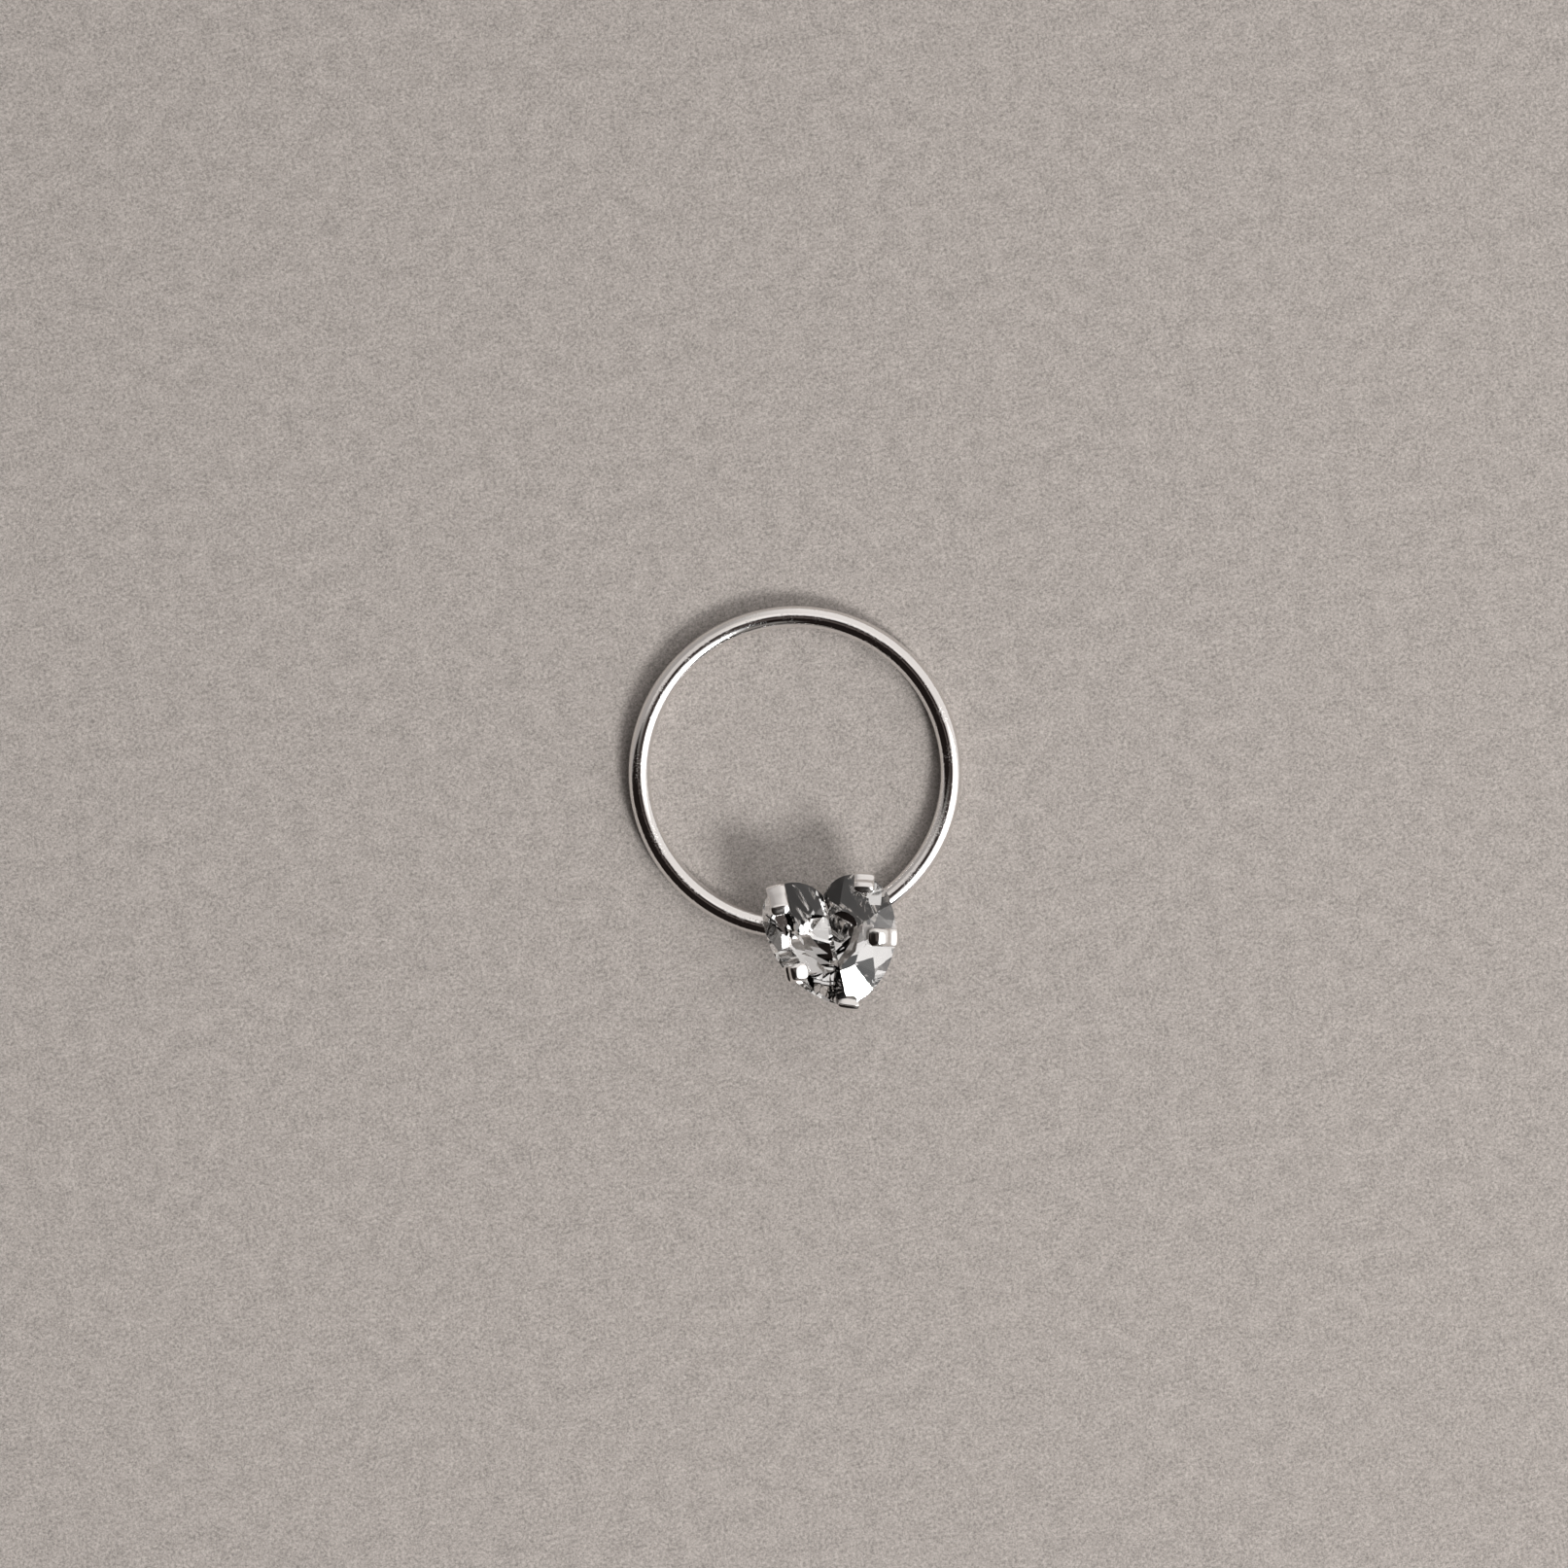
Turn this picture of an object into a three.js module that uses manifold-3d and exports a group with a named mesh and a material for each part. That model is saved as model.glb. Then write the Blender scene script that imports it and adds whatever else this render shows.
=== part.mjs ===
// A piercing hoop: a round wire ring that carries a clear heart-cut stone.
//
// The hoop lies on its side in the XY plane and rests on z = 0, with the stone face up.
// The heart's tip points towards -Y, away from the hoop's middle. Millimetres, +Z up.
//
// Three pieces: the open wire hoop, the metal setting that closes it (a barrel between the
// wire's ends, a heart-shaped rail and five claws, all soldered), and the stone.

import * as THREE from 'three';
import { mergeVertices } from 'three/addons/utils/BufferGeometryUtils.js';
import Module from 'manifold-3d';

const wasm = await Module();
wasm.setup();

// ---- Driving dimensions ------------------------------------------------------------------

// Hoop: 1.2 mm wire around a 16 mm opening.
const wireRadius = 0.6;
const hoopInnerRadius = 8.0;
const hoopRadius = hoopInnerRadius + wireRadius;
const wireSides = 16;
const hoopSteps = 84;

// Stone: a heart about 7 mm wide. Each half outline is a lobe arc and a longer side arc that
// is tangent to it and ends at the tip. Heart frame: tip towards -Y, middle at the origin.
// The finished heart is a little askew: it drops by `askew` of the way to the right.
const lobeRadius = 1.87;
const lobeCentre = new THREE.Vector2(1.65, 2.18);
const sideRadius = 5.05;
const tip = new THREE.Vector2(0, -3.15);
const askew = 0.09;
const girdleThickness = 0.15;
const crownHeight = 0.9;
const tableRatio = 0.41;
const pavilionDepth = 2.1;
const culetFlat = 0.12;

// Where the right half's upper and lower facets would meet, seen from above.
const crownMeeting = new THREE.Vector2(0, 0.8);
const pavilionMeeting = new THREE.Vector2(1.5, 0.8);

// The main facets of one half, from the cleft to the tip: how many, the directions in degrees
// from +X that the first and the last face, how much they crowd towards the cleft, and their
// slopes, as shares of the one that would meet the others at a common point.
const crownFan = {
  count: 8, first: 147, last: -68, crowding: 0.95, firstShare: 0.98, lastShare: 1.09,
};
const pavilionFan = {
  count: 7, first: 153, last: -72, crowding: 1, firstShare: 1.07, lastShare: 1.03,
};

// Setting
const settingDistance = 10.04;
const girdleHeight = 3.4;
const gap = 0.05;
const barrelLength = 3.2;
const barrelRadius = 0.75;
const cupDepth = 0.25;
const railOuterScale = 0.72;
const railInnerScale = 0.5;
const railBottom = 2 * wireRadius + gap;
const railHeight = 0.4;
const clawThickness = 0.26;
const clawSteps = 18;

// Every claw starts on the rail `clawRoot` inside the girdle's edge, rises through its elbow,
// stands upright along the girdle, which sits `seatDepth` deep in it, and bends over between
// `bendStart` above the girdle and `bendEnd` inside its edge.
const clawRoot = 1.75;
const clawElbow = { inward: 0.75, rise: 1.05 };
const seatDepth = 0.1;
const bendStart = 0.12;
const bendEnd = 0.25;

// Each claw stands where the girdle faces `at`, leans outwards to `facing` and folds `fold`
// over the crown, flat on the plane of the facet that faces `facet`. Degrees from +X. Its end
// is raised by a bead that stands `bead` over the strip's middle, highest at the share
// `ridge` of the fold.
const claws = [
  { at: 65, facing: 74, facet: 80, fold: 0.95, width: 1.1, bead: 0.3, ridge: 0.65 },
  { at: 116, facing: 90, facet: 100, fold: 1.5, width: 1.05, bead: 0.36, ridge: 0.7 },
  { at: -16, facing: -14, facet: -22, fold: 1.5, width: 1.0, bead: 0.36, ridge: 0.6 },
  { at: 211, facing: 178, facet: 202, fold: 1.1, width: 0.95, bead: 0.5, ridge: 0.3 },
  { at: -110, facing: -110, facet: -110, fold: 0.45, width: 1.2, bead: 0.3, ridge: 0.3 },
];

const steel = new THREE.MeshStandardMaterial({ color: 0xd8d4d0, roughness: 0.12, metalness: 1 });
const crystal = new THREE.MeshStandardMaterial({
  color: 0xf4f6f8,
  roughness: 0.02,
  metalness: 0,
  transparent: true,
  opacity: 0.4,
});

// ---- Solids ------------------------------------------------------------------------------

// A closed three.js geometry as a solid that can be joined and cut. Triangles that merging
// leaves with no area, such as those where two arcs of an outline meet, are dropped.
function toSolid(geometry) {
  const bare = geometry.clone();
  bare.deleteAttribute('normal');
  bare.deleteAttribute('uv');
  const merged = mergeVertices(bare, 1e-5);
  const corners = merged.index.array;
  const kept = [];
  for (let i = 0; i < corners.length; i += 3) {
    const [a, b, c] = corners.slice(i, i + 3);
    if (a !== b && b !== c && c !== a) kept.push(a, b, c);
  }
  return new wasm.Manifold(new wasm.Mesh({
    numProp: 3,
    vertProperties: new Float32Array(merged.attributes.position.array),
    triVerts: new Uint32Array(kept),
  }));
}

function toGeometry(solid) {
  const mesh = solid.getMesh();
  const geometry = new THREE.BufferGeometry();
  geometry.setAttribute('position', new THREE.BufferAttribute(mesh.vertProperties, 3));
  geometry.setIndex(new THREE.BufferAttribute(mesh.triVerts, 1));
  return geometry;
}

const joined = (solids) => solids.reduce((whole, solid) => whole.add(solid));

// Everything on the outer side of a plane, as a block that is far larger than the stone.
function outerBlock(normal, point) {
  const size = 40;
  const block = new THREE.BoxGeometry(size, size, size).translate(0, 0, size / 2);
  const turn = new THREE.Quaternion().setFromUnitVectors(new THREE.Vector3(0, 0, 1), normal);
  return toSolid(block.applyQuaternion(turn).translate(point.x, point.y, point.z));
}

// ---- Heart outline -----------------------------------------------------------------------

// The side arc's centre: sideRadius from the tip, and so far from the lobe's centre that the
// two arcs touch from inside.
function findSideCentre() {
  const toTip = tip.clone().sub(lobeCentre);
  const span = toTip.length();
  const reach = sideRadius - lobeRadius;
  const along = (reach ** 2 - sideRadius ** 2 + span ** 2) / (2 * span);
  const aside = Math.sqrt(reach ** 2 - along ** 2);
  toTip.divideScalar(span);
  const inward = new THREE.Vector2(toTip.y, -toTip.x);
  return lobeCentre.clone().addScaledVector(toTip, along).addScaledVector(inward, aside);
}

const sideCentre = findSideCentre();
const joinAngle = lobeCentre.clone().sub(sideCentre).angle();
const tipAngle = Math.atan2(tip.y - sideCentre.y, tip.x - sideCentre.x);
const cleftRise = Math.sqrt(lobeRadius ** 2 - lobeCentre.x ** 2);
const cleftAngle = Math.atan2(cleftRise, -lobeCentre.x);

const direction = (angle) => new THREE.Vector2(Math.cos(angle), Math.sin(angle));
const skew = new THREE.Matrix4().makeShear(-askew, 0, 0, 0, 0, 0);

// How far the right half of the girdle reaches in a direction, and where it does so.
function girdlePoint(angle) {
  if (angle < tipAngle) return tip.clone();
  const onLobe = angle > joinAngle;
  const centre = onLobe ? lobeCentre : sideCentre;
  return centre.clone().addScaledVector(direction(angle), onLobe ? lobeRadius : sideRadius);
}

// Right half of the heart, larger by `room` all round and closed along its axis.
function halfHeart(room) {
  const [lobe, side] = [lobeRadius + room, sideRadius + room];
  const cleft = Math.acos(-lobeCentre.x / lobe);
  const foot = -Math.acos(-sideCentre.x / side);
  const shape = new THREE.Shape();
  shape.moveTo(0, lobeCentre.y + lobe * Math.sin(cleft));
  shape.absarc(lobeCentre.x, lobeCentre.y, lobe, cleft, joinAngle, true);
  shape.absarc(sideCentre.x, sideCentre.y, side, joinAngle, foot, true);
  shape.closePath();
  return shape;
}

// Whole heart, `scale` times the size.
function wholeHeart(scale) {
  const shape = new THREE.Shape();
  const arc = (side, centre, radius, from, to) => {
    shape.absarc(side * centre.x * scale, centre.y * scale, radius * scale, from, to, true);
  };
  arc(1, lobeCentre, lobeRadius, cleftAngle, joinAngle);
  arc(1, sideCentre, sideRadius, joinAngle, tipAngle);
  arc(-1, sideCentre, sideRadius, Math.PI - tipAngle, Math.PI - joinAngle);
  arc(-1, lobeCentre, lobeRadius, Math.PI - joinAngle, Math.PI - cleftAngle);
  shape.closePath();
  return shape;
}

// ---- Stone -------------------------------------------------------------------------------

const girdleTop = girdleHeight + girdleThickness;
const crownApex = crownHeight / (1 - tableRatio);

// The stone's upper and lower parts: which way they face, where the right half's facets would
// meet and how high over or under the girdle, the edge that they start from, and the facets.
const crown = {
  side: 1, meeting: crownMeeting, apex: crownApex, girdle: girdleTop, fan: crownFan,
};
const pavilion = {
  side: -1, meeting: pavilionMeeting, apex: pavilionDepth, girdle: girdleHeight, fan: pavilionFan,
};

// Slope of the facet that runs from the girdle to the point where its part's facets meet.
function facetSlope(angle, { meeting, apex }) {
  const run = girdlePoint(angle).sub(meeting).dot(direction(angle));
  return Math.atan2(apex, run);
}

// The direction that each facet of a fan faces, in radians, and its slope's share.
function spreadFacets({ count, first, last, crowding, firstShare, lastShare }) {
  return Array.from({ length: count }, (_, number) => {
    const step = number / (count - 1);
    const heading = THREE.MathUtils.lerp(first, last, step ** crowding);
    const share = THREE.MathUtils.lerp(firstShare, lastShare, step);
    return { angle: THREE.MathUtils.degToRad(heading), share };
  });
}

// The block outside one of a part's facets, `room` away from it.
function facetCut({ angle, share }, part, room) {
  const slope = share * facetSlope(angle, part);
  const facing = direction(angle).multiplyScalar(Math.sin(slope));
  const foot = girdlePoint(angle);
  const normal = new THREE.Vector3(facing.x, facing.y, part.side * Math.cos(slope));
  const point = new THREE.Vector3(foot.x, foot.y, part.girdle).addScaledVector(normal, room);
  return outerBlock(normal, point);
}

// The same direction on the right half, where the outline is worked out.
const onRight = (angle) => (angle > Math.PI / 2 ? Math.PI - angle : angle);

// The point of the finished girdle's upper edge that faces a direction, on either half.
function girdleEdge(angle) {
  const point = girdlePoint(onRight(angle));
  const side = onRight(angle) === angle ? 1 : -1;
  return new THREE.Vector3(side * point.x, point.y, girdleTop).applyMatrix4(skew);
}

// The plane of the finished crown's facet that faces a direction, on either half.
function crownPlane(angle) {
  const slope = facetSlope(onRight(angle), crown);
  const facing = direction(angle).multiplyScalar(Math.sin(slope));
  const normal = new THREE.Vector3(facing.x + askew * facing.y, facing.y, Math.cos(slope));
  return new THREE.Plane().setFromNormalAndCoplanarPoint(normal.normalize(), girdleEdge(angle));
}

// The stone, or the space that holds it with `room` all round. One half is convex, so it is
// cut as a stone is: a heart-shaped blank and flat facets.
function makeStone(room) {
  const depth = crownHeight + girdleThickness + pavilionDepth - culetFlat + 2 * room;
  const blank = new THREE.ExtrudeGeometry(halfHeart(room), {
    depth,
    bevelEnabled: false,
    curveSegments: 6,
  });
  blank.translate(0, 0, girdleHeight - pavilionDepth + culetFlat - room);
  let half = toSolid(blank);
  for (const part of [crown, pavilion]) {
    for (const facet of spreadFacets(part.fan)) half = half.subtract(facetCut(facet, part, room));
  }
  const right = toGeometry(half);
  const left = right.clone().scale(-1, 1, 1);
  left.setIndex(Array.from(right.index.array).reverse());
  return toGeometry(toSolid(right).add(toSolid(left))).applyMatrix4(skew);
}

// ---- Setting -----------------------------------------------------------------------------

// The wire's domed ends sit in cups in the barrel's end faces. Their centres lie on the
// hoop's circle, so the barrel's axis is a chord a little inside it.
const cupRadius = wireRadius + gap;
const wireEndX = barrelLength / 2 + cupRadius - cupDepth;
const barrelY = -Math.sqrt(hoopRadius ** 2 - wireEndX ** 2);

// A barrel along X, a little thicker than the wire, with a flat underneath on z = 0.
function makeBarrel() {
  const half = barrelLength / 2;
  const profile = [
    new THREE.Vector2(0, -half),
    new THREE.Vector2(barrelRadius, -half),
    new THREE.Vector2(barrelRadius, half),
    new THREE.Vector2(0, half),
  ];
  const body = new THREE.LatheGeometry(profile, 24).rotateZ(-Math.PI / 2);
  const cups = [-1, 1].map((side) => {
    const cup = new THREE.SphereGeometry(cupRadius, 24, 16);
    return toSolid(cup.translate(side * wireEndX, 0, 0));
  });
  const underside = outerBlock(new THREE.Vector3(0, 0, -1), new THREE.Vector3(0, 0, -wireRadius));
  const barrel = [...cups, underside].reduce((solid, cut) => solid.subtract(cut), toSolid(body));
  return toGeometry(barrel).translate(0, barrelY, wireRadius);
}

// The rail that the claws stand on: a small open heart under the stone.
function makeRail() {
  const plate = (scale, depth) => new THREE.ExtrudeGeometry(wholeHeart(scale), {
    depth,
    bevelEnabled: false,
    curveSegments: 6,
  });
  const outer = toSolid(plate(railOuterScale, railHeight));
  const inner = toSolid(plate(railInnerScale, 3 * railHeight).translate(0, 0, -railHeight));
  const rail = toGeometry(outer.subtract(inner)).applyMatrix4(skew);
  return rail.translate(0, 0, railBottom);
}

// An arch in the XZ plane from one point to another, drawn out across a claw's width.
function makeBead(start, end, width, height, ridge) {
  const along = end.clone().sub(start);
  const up = new THREE.Vector3(along.z, 0, -along.x).normalize();
  const top = start.clone().addScaledVector(along, 2 * ridge - 0.5).addScaledVector(up, 2 * height);
  const arch = new THREE.Shape();
  arch.moveTo(start.x, start.z);
  arch.quadraticCurveTo(top.x, top.z, end.x, end.z);
  arch.closePath();
  const block = new THREE.ExtrudeGeometry(arch, {
    depth: width,
    bevelEnabled: false,
    curveSegments: 8,
  });
  return block.rotateX(Math.PI / 2).translate(0, width / 2, 0);
}

// A flat strip bent from the rail, up past the girdle and over the crown. Its path is drawn
// with x pointing outwards from the girdle's edge, then turned to face its way. The strip is
// sheared across its width, so that its folded end lies flat over the facet. The seat for the
// girdle is cut later.
function makeClaw({ at, facing, facet, fold, width, bead, ridge }) {
  const [standing, turn, slant] = [at, facing, facet].map(THREE.MathUtils.degToRad);
  const foot = girdleEdge(standing);
  const place = new THREE.Matrix4().makeRotationZ(turn).setPosition(foot.x, foot.y, 0);
  const plane = crownPlane(slant).applyMatrix4(place.clone().invert());
  const half = clawThickness / 2;
  const stand = gap + half - seatDepth;
  const crownPoint = (inward) => {
    const height = (plane.normal.x * inward - plane.constant + gap + half) / plane.normal.z;
    return new THREE.Vector3(-inward, 0, height);
  };
  const path = new THREE.CatmullRomCurve3([
    new THREE.Vector3(-clawRoot, 0, railBottom + half),
    new THREE.Vector3(-clawElbow.inward, 0, railBottom + clawElbow.rise),
    new THREE.Vector3(stand, 0, girdleHeight - bendStart),
    new THREE.Vector3(stand, 0, girdleTop + bendStart),
    crownPoint(bendEnd),
    crownPoint(fold),
  ], false, 'centripetal');
  const section = new THREE.Shape([
    new THREE.Vector2(-width / 2, -half),
    new THREE.Vector2(width / 2, -half),
    new THREE.Vector2(width / 2, half),
    new THREE.Vector2(-width / 2, half),
  ]);
  const strip = new THREE.ExtrudeGeometry(section, { steps: clawSteps, extrudePath: path });
  const raised = makeBead(crownPoint(0), crownPoint(fold), width, bead, ridge);
  const roll = -plane.normal.y / plane.normal.z;
  place.multiply(new THREE.Matrix4().makeShear(0, 0, 0, roll, 0, 0));
  return [strip, raised].map((geometry) => geometry.applyMatrix4(place));
}

// From the heart's own frame to its place on the hoop.
function ontoHoop(geometry) {
  return geometry.translate(0, -settingDistance, 0);
}

// Barrel, rail and claws as one solid, cut away where the stone sits.
function makeSetting() {
  const head = [makeRail(), ...claws.flatMap(makeClaw)].map(ontoHoop);
  const metal = joined([makeBarrel(), ...head].map(toSolid));
  return toGeometry(metal.subtract(toSolid(ontoHoop(makeStone(gap)))));
}

// ---- Hoop --------------------------------------------------------------------------------

// An arc of the hoop's circle, counter-clockwise from the right wire end to the left one.
class HoopCurve extends THREE.Curve {
  getPoint(t, target = new THREE.Vector3()) {
    const opening = Math.asin(wireEndX / hoopRadius);
    const angle = -Math.PI / 2 + opening + t * 2 * (Math.PI - opening);
    return target.set(hoopRadius * Math.cos(angle), hoopRadius * Math.sin(angle), wireRadius);
  }
}

// The wire's section has flats, one of them underneath, so that the hoop rests on a face.
function makeHoop() {
  const vertexRadius = wireRadius / Math.cos(Math.PI / wireSides);
  const corners = Array.from({ length: wireSides }, (_, i) => (
    direction(((i + 0.5) * 2 * Math.PI) / wireSides).multiplyScalar(vertexRadius)
  ));
  const curve = new HoopCurve();
  const wire = new THREE.ExtrudeGeometry(new THREE.Shape(corners), {
    steps: hoopSteps,
    extrudePath: curve,
  });
  const domes = [0, 1].map((end) => {
    const centre = curve.getPoint(end);
    const dome = new THREE.SphereGeometry(wireRadius, 24, 16);
    return toSolid(dome.translate(centre.x, centre.y, centre.z));
  });
  return toGeometry(joined([toSolid(wire), ...domes]));
}

// ---- Assembly ----------------------------------------------------------------------------

function named(name, geometry, material) {
  const mesh = new THREE.Mesh(geometry, material);
  mesh.name = name;
  return mesh;
}

const piercingHoop = new THREE.Group();
piercingHoop.add(
  named('hoop', makeHoop(), steel),
  named('setting', makeSetting(), steel),
  named('stone', ontoHoop(makeStone(0)), crystal),
);

// The origin is under the middle of the object's box.
const box = new THREE.Box3().setFromObject(piercingHoop);
const middle = box.getCenter(new THREE.Vector3());
piercingHoop.position.set(-middle.x, -middle.y, -box.min.z);

export default piercingHoop;
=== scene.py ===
"""A piercing hoop with a clear heart-cut stone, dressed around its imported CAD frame.

The hoop lies on its side on pale paper, stone face up. Every piece is drawn in
millimetres, in the hoop's frame (its middle at the origin, the stone towards -Y) or in the
head's frame (the stone's middle at the origin, the heart's tip towards -Y). A placement
then puts it in the row's frame, in metres.
"""

import logging
import math
from dataclasses import dataclass
from enum import Enum
from typing import Iterable, Optional, Sequence

import bmesh
import bpy
from mathutils import Matrix, Vector

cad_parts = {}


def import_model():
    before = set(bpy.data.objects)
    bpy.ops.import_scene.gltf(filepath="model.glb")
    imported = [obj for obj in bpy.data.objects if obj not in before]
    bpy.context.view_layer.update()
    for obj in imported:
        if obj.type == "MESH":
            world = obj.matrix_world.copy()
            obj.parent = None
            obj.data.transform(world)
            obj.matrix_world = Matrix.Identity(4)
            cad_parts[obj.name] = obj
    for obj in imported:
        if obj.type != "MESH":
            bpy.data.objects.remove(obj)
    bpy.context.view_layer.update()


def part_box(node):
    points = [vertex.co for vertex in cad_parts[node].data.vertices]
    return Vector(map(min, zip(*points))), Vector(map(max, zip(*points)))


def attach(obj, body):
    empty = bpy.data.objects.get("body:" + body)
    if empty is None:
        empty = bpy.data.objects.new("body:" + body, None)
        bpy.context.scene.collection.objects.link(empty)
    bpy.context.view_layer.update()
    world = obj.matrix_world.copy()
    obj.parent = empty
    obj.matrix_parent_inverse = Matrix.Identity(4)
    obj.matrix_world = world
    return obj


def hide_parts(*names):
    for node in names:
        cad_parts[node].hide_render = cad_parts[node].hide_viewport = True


# A millimetre, in metres.
MM = 0.001
# Vertices closer than this are merged, in millimetres.
MERGE = 1e-4
# An edge where the surface turns more than this is sharp, in degrees.
SHARP = 35.0
# From the hoop's middle to the stone's, in millimetres.
HEAD_DISTANCE = 10.04
Z_AXIS = Vector((0.0, 0.0, 1.0))
log = logging.getLogger("piercing_hoop")


class Slot(Enum):
    """The record's material slots."""

    WIRE = "polished_steel"
    SETTING = "setting_steel"
    STONE = "clear_stone"


class Shading(Enum):
    """How a mesh's faces meet in the light."""

    FLAT = "flat"
    SMOOTH = "smooth"


class Side(Enum):
    """The stone's two sides, and which way along Z each one's facets look."""

    CROWN = 1
    PAVILION = -1


# ---- Shared tools --------------------------------------------------------------------------


def heading(degrees: float) -> Vector:
    """The level unit vector that points so many degrees round from +X."""
    angle = math.radians(degrees)
    return Vector((math.cos(angle), math.sin(angle), 0.0))


def on_right(degrees: float) -> float:
    """A direction's mirror image on the +X side, or the direction itself if it is there."""
    return 180.0 - degrees if degrees > 90 else degrees


def every(mesh: bmesh.types.BMesh) -> list:
    """All vertices, edges and faces of a bmesh, as its operators take them."""
    return [*mesh.verts, *mesh.edges, *mesh.faces]


def kind_of(geometry: Iterable, kind: type) -> list:
    """The elements of one kind among an operator's results."""
    return [element for element in geometry if isinstance(element, kind)]


def cut_flat(mesh: bmesh.types.BMesh, point: Vector, normal: Vector) -> None:
    """Cuts a convex solid with a plane and closes it with one flat face.

    Args:
        mesh: The solid, which loses what lies beyond the plane.
        point: A point on the plane.
        normal: The plane's normal, pointing at what is cut off.
    """
    found = bmesh.ops.bisect_plane(
        mesh, geom=every(mesh), dist=MERGE, plane_co=point, plane_no=normal, clear_outer=True
    )
    rim = kind_of(found["geom_cut"], bmesh.types.BMEdge)
    if rim:
        bmesh.ops.contextual_create(mesh, geom=rim)


def mirror_across_x(mesh: bmesh.types.BMesh) -> None:
    """Completes a shape that was drawn on the +X side only, and closes its seam.

    Args:
        mesh: The half shape, which may have faces along the seam.
    """
    seam = [f for f in mesh.faces if all(abs(v.co.x) < MERGE for v in f.verts)]
    bmesh.ops.delete(mesh, geom=seam, context="FACES")
    bmesh.ops.mirror(mesh, geom=every(mesh), matrix=Matrix(), merge_dist=MERGE, axis="X")


def close_up(mesh: bmesh.types.BMesh) -> None:
    """Merges doubled vertices and turns every face outwards.

    Args:
        mesh: The shape to finish.
    """
    bmesh.ops.remove_doubles(mesh, verts=mesh.verts[:], dist=MERGE)
    bmesh.ops.recalc_face_normals(mesh, faces=mesh.faces[:])


def place(
    mesh: bmesh.types.BMesh, name: str, placement: Matrix, shading: Shading
) -> bpy.types.Object:
    """Makes a finished bmesh a Blender object whose place is in its mesh.

    Args:
        mesh: The shape, in millimetres. It is freed.
        name: The piece's name.
        placement: From the shape's own frame to the row's frame, in millimetres.
        shading: How its faces are shaded.

    Returns:
        The object, at the origin and unturned, in metres.
    """
    bmesh.ops.transform(mesh, matrix=Matrix.Scale(MM, 4) @ placement, verts=mesh.verts[:])
    for face in mesh.faces:
        face.smooth = shading is Shading.SMOOTH
    data = bpy.data.meshes.new(name)
    mesh.to_mesh(data)
    mesh.free()
    piece = bpy.data.objects.new(name, data)
    bpy.context.scene.collection.objects.link(piece)
    return piece


def round_edges(piece: bpy.types.Object, width: float, segments: int) -> None:
    """Rounds a piece's sharp edges.

    Args:
        piece: The piece to finish.
        width: The rounding's width, in millimetres.
        segments: How many faces go round each edge.
    """
    rounding = piece.modifiers.new("rounded_edges", "BEVEL")
    rounding.width = width * MM
    rounding.segments = segments
    rounding.limit_method = "ANGLE"
    rounding.angle_limit = math.radians(SHARP)
    rounding.harden_normals = True


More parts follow.
